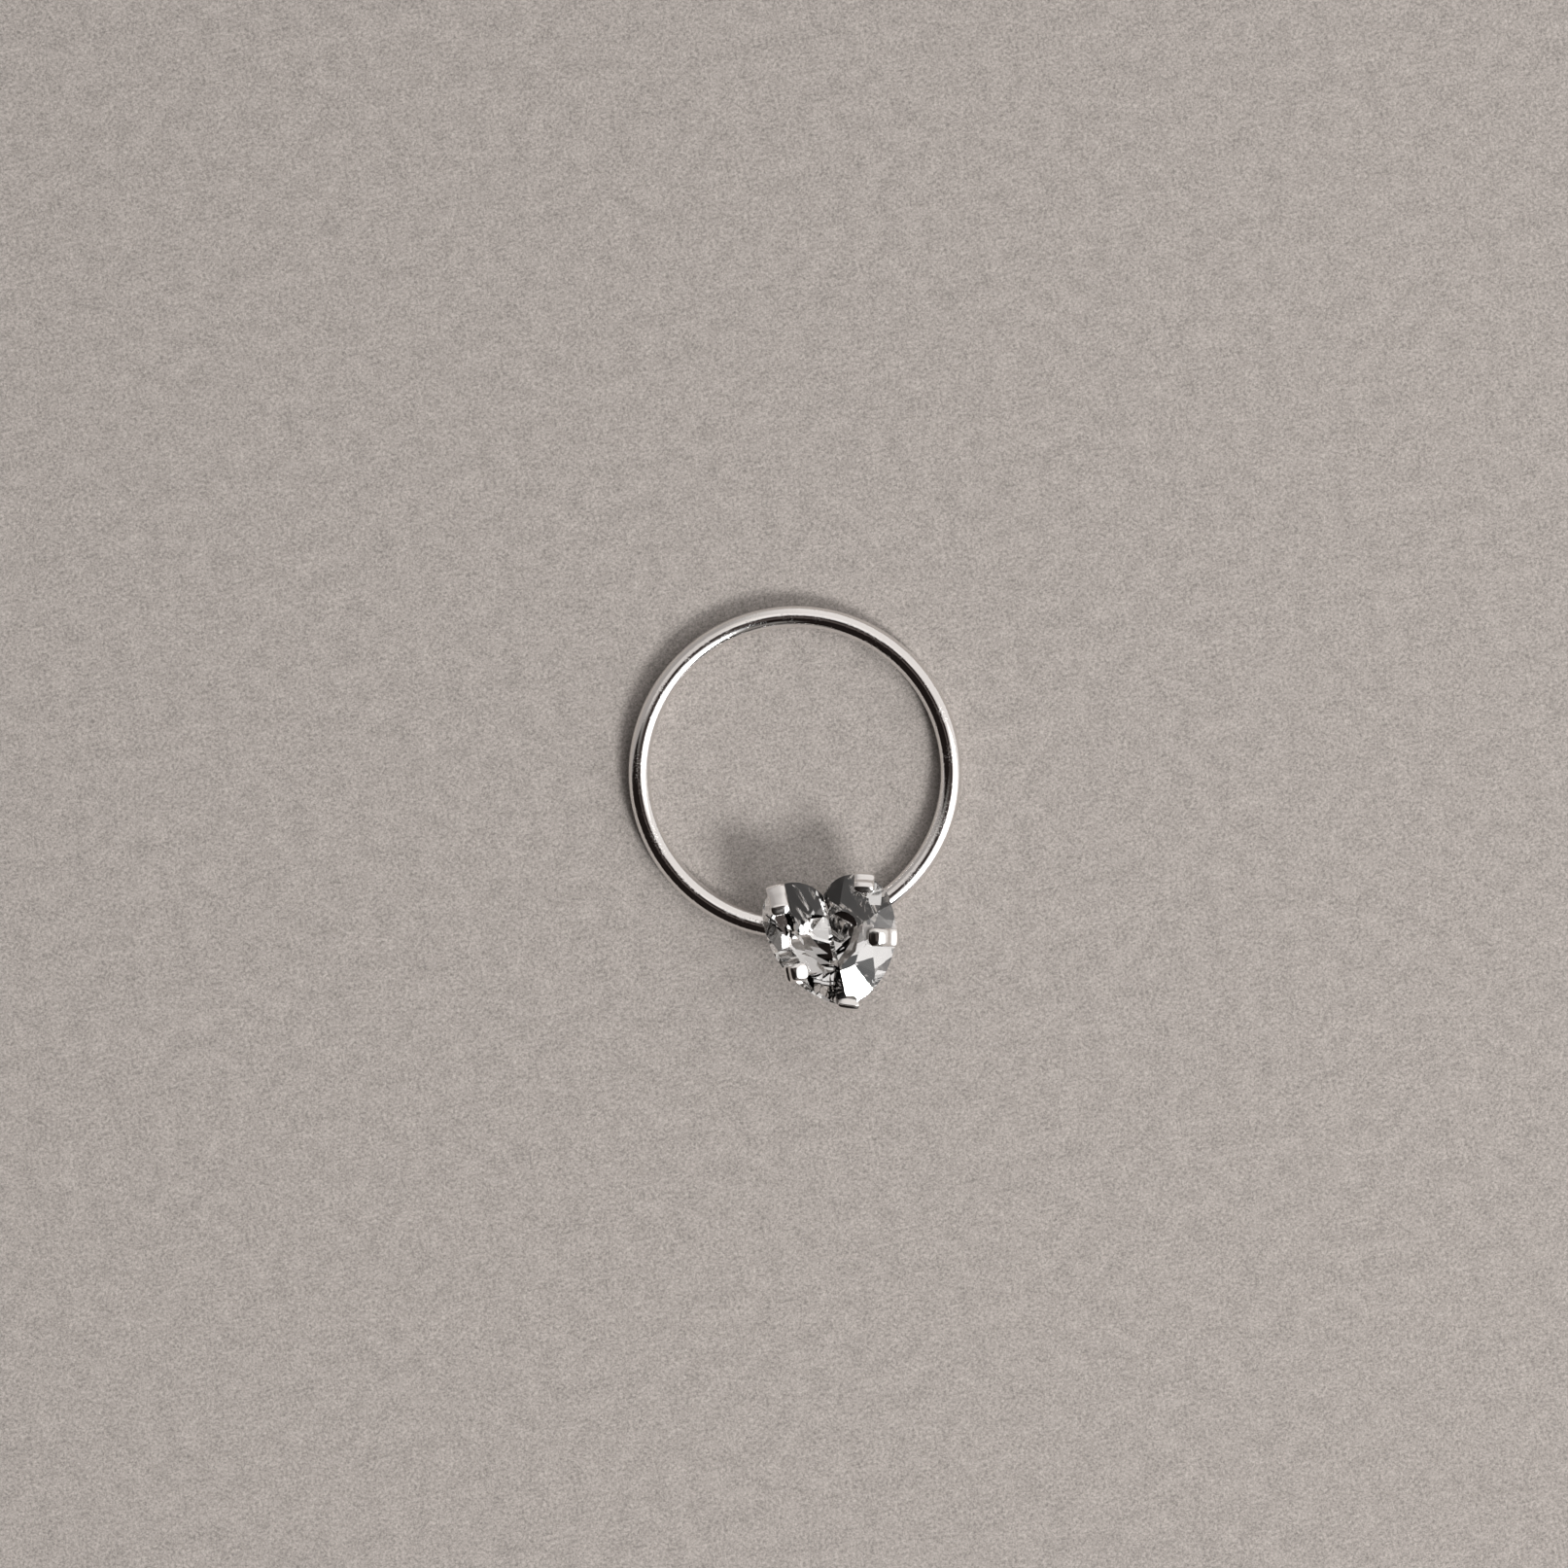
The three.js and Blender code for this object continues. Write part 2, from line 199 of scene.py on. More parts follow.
class NodeSheet:
    """A node tree with short ways to add and join nodes."""

    def __init__(self, tree: bpy.types.NodeTree) -> None:
        """Starts from an empty tree."""
        self.tree = tree
        tree.nodes.clear()

    def add(self, kind: str, inputs: Optional[dict] = None, **settings: str) -> bpy.types.Node:
        """Adds a node.

        Args:
            kind: The node's type name.
            inputs: Socket name or number to a value, or to another node's output.
            **settings: Attributes of the node itself.

        Returns:
            The node.
        """
        node = self.tree.nodes.new(kind)
        for name, value in settings.items():
            setattr(node, name, value)
        for socket, value in (inputs or {}).items():
            if isinstance(value, bpy.types.NodeSocket):
                self.tree.links.new(value, node.inputs[socket])
            else:
                node.inputs[socket].default_value = value
        return node

    def noise(
        self, where: bpy.types.NodeSocket, per_mm: float, detail: float, **inputs: float
    ) -> bpy.types.NodeSocket:
        """A value that wanders about 0.5.

        Args:
            where: The place that it is read at, in metres.
            per_mm: How many of its spots lie in a millimetre.
            detail: How many finer layers it has.
            **inputs: Values for its other sockets.

        Returns:
            The value.
        """
        sockets = {"Vector": where, "Scale": per_mm / MM, "Detail": detail, **inputs}
        return self.add("ShaderNodeTexNoise", sockets).outputs["Fac"]

    def stretch(
        self,
        value: bpy.types.NodeSocket,
        span: tuple[float, float],
        onto: tuple[float, float] = (0.0, 1.0),
        **settings: str,
    ) -> bpy.types.NodeSocket:
        """A value moved from one span to another, and held inside it.

        Args:
            value: The value.
            span: Its span.
            onto: The span that it is moved to.
            **settings: Attributes of the node itself.

        Returns:
            The moved value.
        """
        ends = {"From Min": span[0], "From Max": span[1], "To Min": onto[0], "To Max": onto[1]}
        node = self.add("ShaderNodeMapRange", {"Value": value, **ends}, **settings)
        return node.outputs["Result"]

    def bump(
        self, height: bpy.types.NodeSocket, depth: float, **inputs: float | bpy.types.NodeSocket
    ) -> bpy.types.NodeSocket:
        """The normal of a surface with relief.

        Args:
            height: The relief, from 0 to 1.
            depth: How deep it is, in millimetres.
            **inputs: Its Strength, and the Normal of the surface under it.

        Returns:
            The normal.
        """
        sockets = {"Height": height, "Distance": depth * MM, **inputs}
        return self.add("ShaderNodeBump", sockets).outputs["Normal"]

    def mix(
        self, share: bpy.types.NodeSocket, under: bpy.types.NodeSocket, over: tuple
    ) -> bpy.types.NodeSocket:
        """A colour laid over another.

        Args:
            share: How much of the upper one is seen.
            under: The lower colour.
            over: The upper colour.

        Returns:
            What is seen.
        """
        factor, first, second, result = 0, 6, 7, 2
        sockets = {factor: share, first: under, second: (*over, 1.0)}
        return self.add("ShaderNodeMix", sockets, data_type="RGBA").outputs[result]

    def ramp(self, value: bpy.types.NodeSocket, stops: Sequence[tuple]) -> bpy.types.NodeSocket:
        """A colour that follows a value.

        Args:
            value: What it follows.
            stops: Two pairs of position and colour, in order.

        Returns:
            The colour.
        """
        node = self.add("ShaderNodeValToRGB", {"Fac": value})
        for element, (position, colour) in zip(node.color_ramp.elements, stops, strict=True):
            element.position = position
            element.color = (*colour, 1.0)
        return node.outputs["Color"]


# ---- Finishes ------------------------------------------------------------------------------


class Finish:
    """What every finish has in common."""

    def make(self, name: str) -> bpy.types.Material:
        """Makes the finish a material.

        Args:
            name: The material's name.

        Returns:
            The material.
        """
        material = bpy.data.materials.new(name)
        material.use_nodes = True
        sheet = NodeSheet(material.node_tree)
        sheet.add("ShaderNodeOutputMaterial", {"Surface": self.surface(sheet)})
        return material

    def surface(self, sheet: NodeSheet) -> bpy.types.NodeSocket:
        """Draws the finish on an empty sheet and returns its shader."""
        raise NotImplementedError


@dataclass(frozen=True)
class PolishedSteel(Finish):
    """Mirror-polished steel with the fine marks of wear.

    Attributes:
        colour: What it reflects head on.
        polish: Roughness where it is least worn.
        haze: How much rougher the worn places are.
        worn_per_mm: How closely the worn places lie.
        hazy_from: The wear at which the haze begins and is full.
        nicked_from: The wear at which the nicks begin and are at their deepest.
        mark_depth: Depth of the small marks, in millimetres.
        marks_per_mm: How closely they lie.
        nick_depth: Depth of the nicks in the worn places, in millimetres.
        nicks_per_mm: How closely they lie.
        nick_edges: Where a nick's edge and its bottom lie in the noise that they follow.
    """

    colour: tuple = (0.92, 0.9, 0.885)
    polish: float = 0.02
    haze: float = 0.04
    worn_per_mm: float = 0.9
    hazy_from: tuple = (0.35, 0.75)
    nicked_from: tuple = (0.42, 0.62)
    mark_depth: float = 0.0009
    marks_per_mm: float = 14.0
    nick_depth: float = 0.005
    nicks_per_mm: float = 11.0
    nick_edges: tuple = (0.52, 0.75)

    def surface(self, sheet: NodeSheet) -> bpy.types.NodeSocket:
        """Draws the finish.

        Args:
            sheet: The empty sheet that it is drawn on.

        Returns:
            Its shader.
        """
        place_in = sheet.add("ShaderNodeTexCoord").outputs["Object"]
        marks = sheet.noise(place_in, self.marks_per_mm, detail=3.0)
        wear = sheet.noise(place_in, self.worn_per_mm, detail=4.0)
        nicks = sheet.noise(place_in, self.nicks_per_mm, detail=1.0)
        roughness = sheet.stretch(wear, self.hazy_from, (self.polish, self.polish + self.haze))
        nicked = sheet.bump(
            sheet.stretch(nicks, self.nick_edges),
            self.nick_depth,
            Strength=sheet.stretch(wear, self.nicked_from),
            Normal=sheet.bump(marks, self.mark_depth, Strength=1.0),
        )
        metal = {
            "Base Color": (*self.colour, 1.0),
            "Metallic": 1.0,
            "Roughness": roughness,
            "Normal": nicked,
        }
        return sheet.add("ShaderNodeBsdfPrincipled", metal).outputs["BSDF"]


@dataclass(frozen=True)
class ClearCrystal(Finish):
    """Colourless crystal with polished facets.

    Attributes:
        colour: What passes through it.
        bending: Its index of refraction.
        let_through: The share of the lamps' light that falls straight through it.
    """

    colour: tuple = (0.985, 0.99, 0.99)
    bending: float = 1.8
    let_through: float = 0.25

    def surface(self, sheet: NodeSheet) -> bpy.types.NodeSocket:
        """Draws the finish.

        Args:
            sheet: The empty sheet that it is drawn on.

        Returns:
            Its shader.
        """
        crystal = {
            "Base Color": (*self.colour, 1.0),
            "Roughness": 0.0,
            "IOR": self.bending,
            "Transmission Weight": 1.0,
        }
        seen = sheet.add("ShaderNodeBsdfPrincipled", crystal).outputs["BSDF"]
        shade = [self.let_through] * 3
        lit = sheet.add("ShaderNodeBsdfTransparent", {"Color": (*shade, 1.0)}).outputs["BSDF"]
        lamp = sheet.add("ShaderNodeLightPath").outputs["Is Shadow Ray"]
        return sheet.add("ShaderNodeMixShader", {0: lamp, 1: seen, 2: lit}).outputs["Shader"]


@dataclass(frozen=True)
class GrainedPaper(Finish):
    """Warm grey paper with a fine, shallow grain.

    Attributes:
        light: Its colour on the grain's crests, the paper's own tone lightened as painted light on
            the relief.
        dark: Its colour in the hollows, the paper's own tone darkened as painted shade in the
            relief.
        dark_at: How far down the grain is darkest, from 0 in its deepest hollow.
        light_at: How far up it is lightest, to 1 on its highest crest.
        grains_per_mm: How fine the grain is.
        clouds_per_mm: How fine the broader clouds in it are.
        clouding: How strong they are beside the grain.
        grain_depth: How deep it is, in millimetres.
    """

    light: tuple = (0.394, 0.363, 0.341)
    dark: tuple = (0.161, 0.149, 0.14)
    dark_at: float = 0.3
    light_at: float = 0.7
    grains_per_mm: float = 5.5
    clouds_per_mm: float = 0.9
    clouding: float = 0.2
    grain_depth: float = 0.03

    def surface(self, sheet: NodeSheet) -> bpy.types.NodeSocket:
        """Draws the finish.

        Args:
            sheet: The empty sheet that it is drawn on.

        Returns:
            Its shader.
        """
        place_in = sheet.add("ShaderNodeTexCoord").outputs["Object"]
        grain = sheet.noise(
            place_in, self.grains_per_mm, detail=2.0, Roughness=1.0, Distortion=0.3
        )
        clouds = sheet.noise(place_in, self.clouds_per_mm, detail=2.0)
        tone = sheet.add(
            "ShaderNodeMath", {0: clouds, 1: self.clouding, 2: grain}, operation="MULTIPLY_ADD"
        ).outputs["Value"]
        usual = self.clouding / 2
        # The grain that gives the relief also darkens the colour in its hollows and lightens it on
        # its crests. This is painted shade and light of the relief, laid over the paper's own
        # random tone.
        stops = [(usual + self.dark_at, self.dark), (usual + self.light_at, self.light)]
        paper = {
            "Base Color": sheet.ramp(tone, stops),
            "Roughness": 0.9,
            "Specular IOR Level": 0.25,
            "Normal": sheet.bump(grain, self.grain_depth, Strength=0.8),
        }
        return sheet.add("ShaderNodeBsdfPrincipled", paper).outputs["BSDF"]


# ---- Heart outline -------------------------------------------------------------------------


@dataclass(frozen=True)
class HeartOutline:
    """The girdle's outline in the head's frame, in millimetres.

    Each half is a lobe arc and a longer side arc, which touch from inside and end at the
    cleft and at the tip.

    Attributes:
        lobe_radius: The lobe arc's radius.
        lobe_centre: Its centre, on the right half.
        side_radius: The side arc's radius.
        tip: Where the two side arcs meet.
        askew: How far the finished heart drops, as a share of the way to the right.
        fewest_steps: The fewest edges that an arc is drawn with.
    """

    lobe_radius: float = 1.87
    lobe_centre: Vector = Vector((1.65, 2.18, 0.0))
    side_radius: float = 5.05
    tip: Vector = Vector((0.0, -3.15, 0.0))
    askew: float = 0.09
    fewest_steps: int = 4

    @property
    def side_centre(self) -> Vector:
        """The side arc's centre.

        Returns:
            The point that is a side radius from the tip, with an arc that touches the lobe's.
        """
        to_tip = self.tip - self.lobe_centre
        span = to_tip.length
        reach = self.side_radius - self.lobe_radius
        along = (reach**2 - self.side_radius**2 + span**2) / (2 * span)
        aside = math.sqrt(reach**2 - along**2)
        to_tip.normalize()
        inward = Vector((to_tip.y, -to_tip.x, 0.0))
        return self.lobe_centre + along * to_tip + aside * inward

    @property
    def join(self) -> float:
        """The direction, in degrees, in which both arcs face where they touch."""
        across = self.lobe_centre - self.side_centre
        return math.degrees(math.atan2(across.y, across.x))

    @property
    def tip_facing(self) -> float:
        """The direction, in degrees, in which the right side arc faces at the tip."""
        down = self.tip - self.side_centre
        return math.degrees(math.atan2(down.y, down.x))

    @property
    def cleft_facing(self) -> float:
        """The direction, in degrees, in which the right lobe faces at the cleft."""
        return math.degrees(math.acos(-self.lobe_centre.x / self.lobe_radius))

    def touch(self, degrees: float) -> Vector:
        """Where the right half reaches furthest in a direction.

        Args:
            degrees: The direction, in degrees from +X.

        Returns:
            The point, which is the tip itself for a direction that no arc faces.
        """
        if degrees < self.tip_facing:
            return self.tip.copy()
        if degrees > self.join:
            return self.lobe_centre + self.lobe_radius * heading(degrees)
        return self.side_centre + self.side_radius * heading(degrees)

    @property
    def skew(self) -> Matrix:
        """What makes an even heart askew.

        Returns:
            A shear along Y.
        """
        skew = Matrix.Identity(4)
        skew[1][0] = -self.askew
        return skew

    def edge(self, degrees: float) -> Vector:
        """Where the finished heart's edge faces a direction.

        Args:
            degrees: The direction before the heart is made askew, on either half.

        Returns:
            The point.
        """
        point = self.touch(on_right(degrees))
        if degrees > 90:
            point.x = -point.x
        return self.skew @ point

    def trace(self, mesh: bmesh.types.BMesh, scale: float, steps_per_turn: int) -> list:
        """Draws the right half as a chain of edges from the cleft to the tip.

        Args:
            mesh: The bmesh to draw in.
            scale: The outline's size, as a share of the girdle's.
            steps_per_turn: How many edges a whole circle would have.

        Returns:
            The chain's vertices and edges.
        """
        start = bmesh.ops.create_vert(mesh, co=scale * self.touch(self.cleft_facing))["vert"]
        end = list(start)
        arcs = (
            (self.lobe_centre, self.cleft_facing - self.join),
            (self.side_centre, self.join - self.tip_facing),
        )
        for centre, turn in arcs:
            end = bmesh.ops.spin(
                mesh,
                geom=end,
                cent=scale * centre,
                axis=-Z_AXIS,
                angle=math.radians(turn),
                steps=max(self.fewest_steps, round(steps_per_turn * turn / 360)),
            )["geom_last"]
        return every(mesh)


# ---- Hoop ----------------------------------------------------------------------------------


@dataclass
class WireHoop:
    """The round wire ring, open under the stone, with domed ends.

    Attributes:
        wire_radius: Half the wire's thickness.
        ring_radius: From the hoop's middle to the wire's centre line.
        end_x: How far each dome's centre lies to the side of the setting's middle.
        wire_sides: How many faces go round the wire.
        ring_steps: How many go along half the hoop.
    """

    wire_radius: float = 0.6
    ring_radius: float = 8.6
    end_x: float = 2.01
    wire_sides: int = 48
    ring_steps: int = 200

    @property
    def opening(self) -> float:
        """The angle in radians from -Y to each dome's centre."""
        return math.asin(self.end_x / self.ring_radius)

    def build(self, placement: Matrix) -> bpy.types.Object:
        """Makes the wire.

        Args:
            placement: From the hoop's frame to the row's.

        Returns:
            The wire, as one closed mesh.
        """
        mesh = bmesh.new()
        bmesh.ops.create_uvsphere(
            mesh,
            u_segments=self.wire_sides,
            v_segments=self.wire_sides // 2,
            radius=self.wire_radius,
            matrix=Matrix.Rotation(math.pi / 2, 4, "X"),
        )
        bmesh.ops.bisect_plane(
            mesh,
            geom=every(mesh),
            dist=MERGE,
            plane_co=(0, 0, 0),
            plane_no=(0, 1, 0),
            clear_outer=True,
        )
        bmesh.ops.translate(mesh, vec=(self.ring_radius, 0, self.wire_radius), verts=mesh.verts[:])
        start = Matrix.Rotation(-math.pi / 2 + self.opening, 3, "Z")
        bmesh.ops.rotate(mesh, cent=(0, 0, 0), matrix=start, verts=mesh.verts[:])
        rim = [e for e in mesh.edges if e.is_boundary]
        corners = list({v for e in rim for v in e.verts})
        bmesh.ops.spin(
            mesh,
            geom=[*corners, *rim],
            cent=(0, 0, 0),
            axis=Z_AXIS,
            angle=math.pi - self.opening,
            steps=self.ring_steps,
        )
        mirror_across_x(mesh)
        close_up(mesh)
        return place(mesh, "hoop_wire", placement, Shading.SMOOTH)


# ---- Stone ---------------------------------------------------------------------------------


@dataclass(frozen=True)
class FacetFan:
    """The main facets round one half of the stone, on its crown or its pavilion.

    Attributes:
        count: How many there are.
        first: The direction, in degrees, that the one next to the cleft faces.
        last: The direction that the one next to the tip faces.
        crowding: Over 1, they crowd towards the cleft; under 1, towards the tip.
        first_share: The first facet's slope, as a share of one that meets the others.
        last_share: The last facet's slope, as such a share.
    """

    count: int
    first: float
    last: float
    crowding: float
    first_share: float
    last_share: float

    def spread(self) -> list[tuple[float, float]]:
        """Spreads the facets round the half.

        Returns:
            The direction that each one faces, with its slope's share.
        """
        steps = [number / (self.count - 1) for number in range(self.count)]
        return [
            (
                self.first + step**self.crowding * (self.last - self.first),
                self.first_share + step * (self.last_share - self.first_share),
            )
            for step in steps
        ]

    def between(self, shares: Sequence[float]) -> list[float]:
        """Finds directions between neighbouring facets.

        Args:
            shares: How far each lies on the way from one facet to the next.

        Returns:
            The directions, in degrees, round the half for each share in turn.
        """
        mains = [degrees for degrees, _ in self.spread()]
        return [a + share * (b - a) for share in shares for a, b in zip(mains, mains[1:])]


@dataclass
class HeartStone:
    """The heart-cut stone, cut facet by facet from a heart-shaped blank.

    Attributes:
        outline: The girdle.
        girdle_low: The girdle's lower edge, above the surface that the hoop lies on.
        girdle_height: The girdle's thickness.
        crown_height: From the girdle to the table.
        table_share: The table's size, as a share of the girdle's.
        pavilion_depth: From the girdle down to where the lower facets would meet.
        culet_flat: How much of that point is ground off.
        middle: Where the upper facets of the right half would meet, seen from above.
        point: Where its lower facets would meet, seen from above.
        upper: The main facets of the crown.
        lower: The main facets of the pavilion.
        pair_places: How far along from one main to the next a pair of facets stands.
        crown_break: How much steeper than the mains the crown's pairs are.
        pavilion_break: How much steeper the pavilion's are.
        star_place: How far along a star stands, at the table's edge.
        star_slope: The stars' slope, as a share of the mains'.
        star_foot: How far out the stars meet the table, as a share of the table's reach.
        girdle_steps: How many edges a whole circle of the girdle would have.
    """

    outline: HeartOutline
    girdle_low: float = 3.4
    girdle_height: float = 0.15
    crown_height: float = 0.9
    table_share: float = 0.41
    pavilion_depth: float = 2.1
    culet_flat: float = 0.12
    middle: Vector = Vector((0.0, 0.8, 0.0))
    point: Vector = Vector((1.5, 0.8, 0.0))
    upper: FacetFan = FacetFan(
        count=8, first=147.0, last=-68.0, crowding=0.95, first_share=0.98, last_share=1.09
    )
    lower: FacetFan = FacetFan(
        count=7, first=153.0, last=-72.0, crowding=1.0, first_share=1.07, last_share=1.03
    )
    pair_places: tuple = (0.27, 0.73)
    crown_break: float = 1.12
    pavilion_break: float = 1.32
    star_place: float = 0.5
    star_slope: float = 0.51
    star_foot: float = 0.99
    girdle_steps: int = 160

    @property
    def girdle_top(self) -> float:
        """The girdle's upper edge, above the surface that the hoop lies on."""
        return self.girdle_low + self.girdle_height

    @property
    def crown_apex(self) -> float:
        """How far above the girdle the crown's main facets would meet."""
        return self.crown_height / (1 - self.table_share)

    def slope(self, degrees: float, side: Side) -> float:
        """The slope of a facet that would meet the others of its side.

        Args:
            degrees: The direction that it faces, on the right half.
            side: Its side of the stone.

        Returns:
            The slope from level, in radians.
        """
        crown = side is Side.CROWN
        meeting = self.middle if crown else self.point
        run = (self.outline.touch(degrees) - meeting).dot(heading(degrees))
        return math.atan2(self.crown_apex if crown else self.pavilion_depth, run)

    def crown_plane(self, degrees: float) -> tuple[Vector, Vector]:
        """The plane of a main facet of the finished crown.

        Args:
            degrees: The direction that it faces, on either half.

        Returns:
            A point on it, and its normal.
        """
        slope = self.slope(on_right(degrees), Side.CROWN)
        facing = math.sin(slope) * heading(degrees)
        facing.x += self.outline.askew * facing.y
        normal = (facing + math.cos(slope) * Z_AXIS).normalized()
        return self.outline.edge(degrees) + self.girdle_top * Z_AXIS, normal

    def grind(
        self,
        mesh: bmesh.types.BMesh,
        degrees: float,
        slope: float,
        side: Side,
        point: Optional[Vector] = None,
    ) -> None:
        """Cuts one facet.

        Args:
            mesh: The half stone.
            degrees: The direction that the facet faces.
            slope: Its slope from level, in radians.
            side: Its side of the stone.
            point: A point on it, or None where it starts from the girdle's edge.
        """
        if point is None:
            edge = self.girdle_top if side is Side.CROWN else self.girdle_low
            point = self.outline.touch(degrees) + edge * Z_AXIS
        normal = math.sin(slope) * heading(degrees) + side.value * math.cos(slope) * Z_AXIS
        cut_flat(mesh, point, normal)

    def cut_side(
        self, mesh: bmesh.types.BMesh, side: Side, fan: FacetFan, steeper: float
    ) -> None:
        """Cuts the main facets of one side, and the pairs along the girdle between them.

        Args:
            mesh: The half stone.
            side: The side.
            fan: Its main facets.
            steeper: How much steeper than the mains the pairs are.
        """
        for degrees, share in fan.spread():
            self.grind(mesh, degrees, share * self.slope(degrees, side), side)
        for degrees in fan.between(self.pair_places):
            steep = math.atan(steeper * math.tan(self.slope(degrees, side)))
            self.grind(mesh, degrees, steep, side)

    def cut_stars(self, mesh: bmesh.types.BMesh) -> None:
        """Cuts the small facets round the table.

        Args:
            mesh: The half stone, with its crown cut.
        """
        table = (self.girdle_top + self.crown_height) * Z_AXIS
        for degrees in self.upper.between([self.star_place]):
            run = self.outline.touch(degrees) - self.middle
            inner = self.middle + self.star_foot * self.table_share * run
            shallow = self.star_slope * self.slope(degrees, Side.CROWN)
            self.grind(mesh, degrees, shallow, Side.CROWN, inner + table)

    def build(self, placement: Matrix) -> bpy.types.Object:
        """Makes the stone.

        Args:
            placement: From the head's frame to the row's.

        Returns:
            The stone, with flat facets.
        """
        mesh = bmesh.new()
        chain = self.outline.trace(mesh, 1.0, self.girdle_steps)
        bmesh.ops.contextual_create(mesh, geom=chain)
        low = self.girdle_low - self.pavilion_depth + self.culet_flat
        high = self.girdle_top + self.crown_height
        bmesh.ops.translate(mesh, vec=(0, 0, low), verts=mesh.verts[:])
        raised = bmesh.ops.extrude_face_region(mesh, geom=mesh.faces[:])["geom"]
        lifted = kind_of(raised, bmesh.types.BMVert)
        bmesh.ops.translate(mesh, vec=(0, 0, high - low), verts=lifted)
        bmesh.ops.recalc_face_normals(mesh, faces=mesh.faces[:])
        self.cut_side(mesh, Side.CROWN, self.upper, self.crown_break)
        self.cut_stars(mesh)
        self.cut_side(mesh, Side.PAVILION, self.lower, self.pavilion_break)
        mirror_across_x(mesh)
        close_up(mesh)
        return place(mesh, "heart_stone", placement @ self.outline.skew, Shading.FLAT)


# ---- Setting -------------------------------------------------------------------------------


@dataclass(frozen=True)
class Claw:
    """One claw's place.

    Attributes:
        name: What it is called.
        at: The direction, in degrees, that the girdle faces where the claw stands.
        facing: The direction in which it leans outwards.
        facet: The direction that the crown facet under its fold faces.
        fold: How far it reaches over the crown.
        width: How wide it is.
        bead: How high its bead stands over the strip's middle.
        ridge: Where the bead is highest, as a share of the fold.
    """

    name: str
    at: float
    facing: float
    facet: float
    fold: float
    width: float
    bead: float
    ridge: float


CLAWS = (
    Claw("claw_lobe_right", 65, 74, 80, 0.95, 1.1, 0.3, 0.65),
    Claw("claw_lobe_left", 116, 90, 100, 1.5, 1.05, 0.36, 0.7),
    Claw("claw_side_right", -16, -14, -22, 1.5, 1.0, 0.36, 0.6),
    Claw("claw_side_left", 211, 178, 202, 1.1, 0.95, 0.5, 0.3),
    Claw("claw_tip", -110, -110, -110, 0.45, 1.2, 0.3, 0.3),
)


def rounded_path(
    corners: Sequence[Vector], radii: Sequence[float], steps: int
) -> list[tuple[Vector, Vector]]:
    """A line through corners, with an arc at each inner one.

    Args:
        corners: The corners, all in the XZ plane.
        radii: The arc's radius at each inner corner.
        steps: How many pieces each arc has.

    Returns:
        Points along the line, each with its direction.
    """
    path = []
    first = (corners[1] - corners[0]).normalized()
    path.append((corners[0], first))
    for before, corner, after, radius in zip(corners, corners[1:], corners[2:], radii):
        ahead = (corner - before).normalized()
        away = (after - corner).normalized()
        turn = ahead.angle(away)
        back = radius * math.tan(turn / 2)
        axis = ahead.cross(away).normalized()
        centre = corner - back * ahead + radius * axis.cross(ahead)
        for step in range(steps + 1):
            spun = Matrix.Rotation(turn * step / steps, 3, axis)
            path.append((centre - radius * (spun @ axis.cross(ahead)), spun @ ahead))
    path.append((corners[-1], (corners[-1] - corners[-2]).normalized()))
    return path


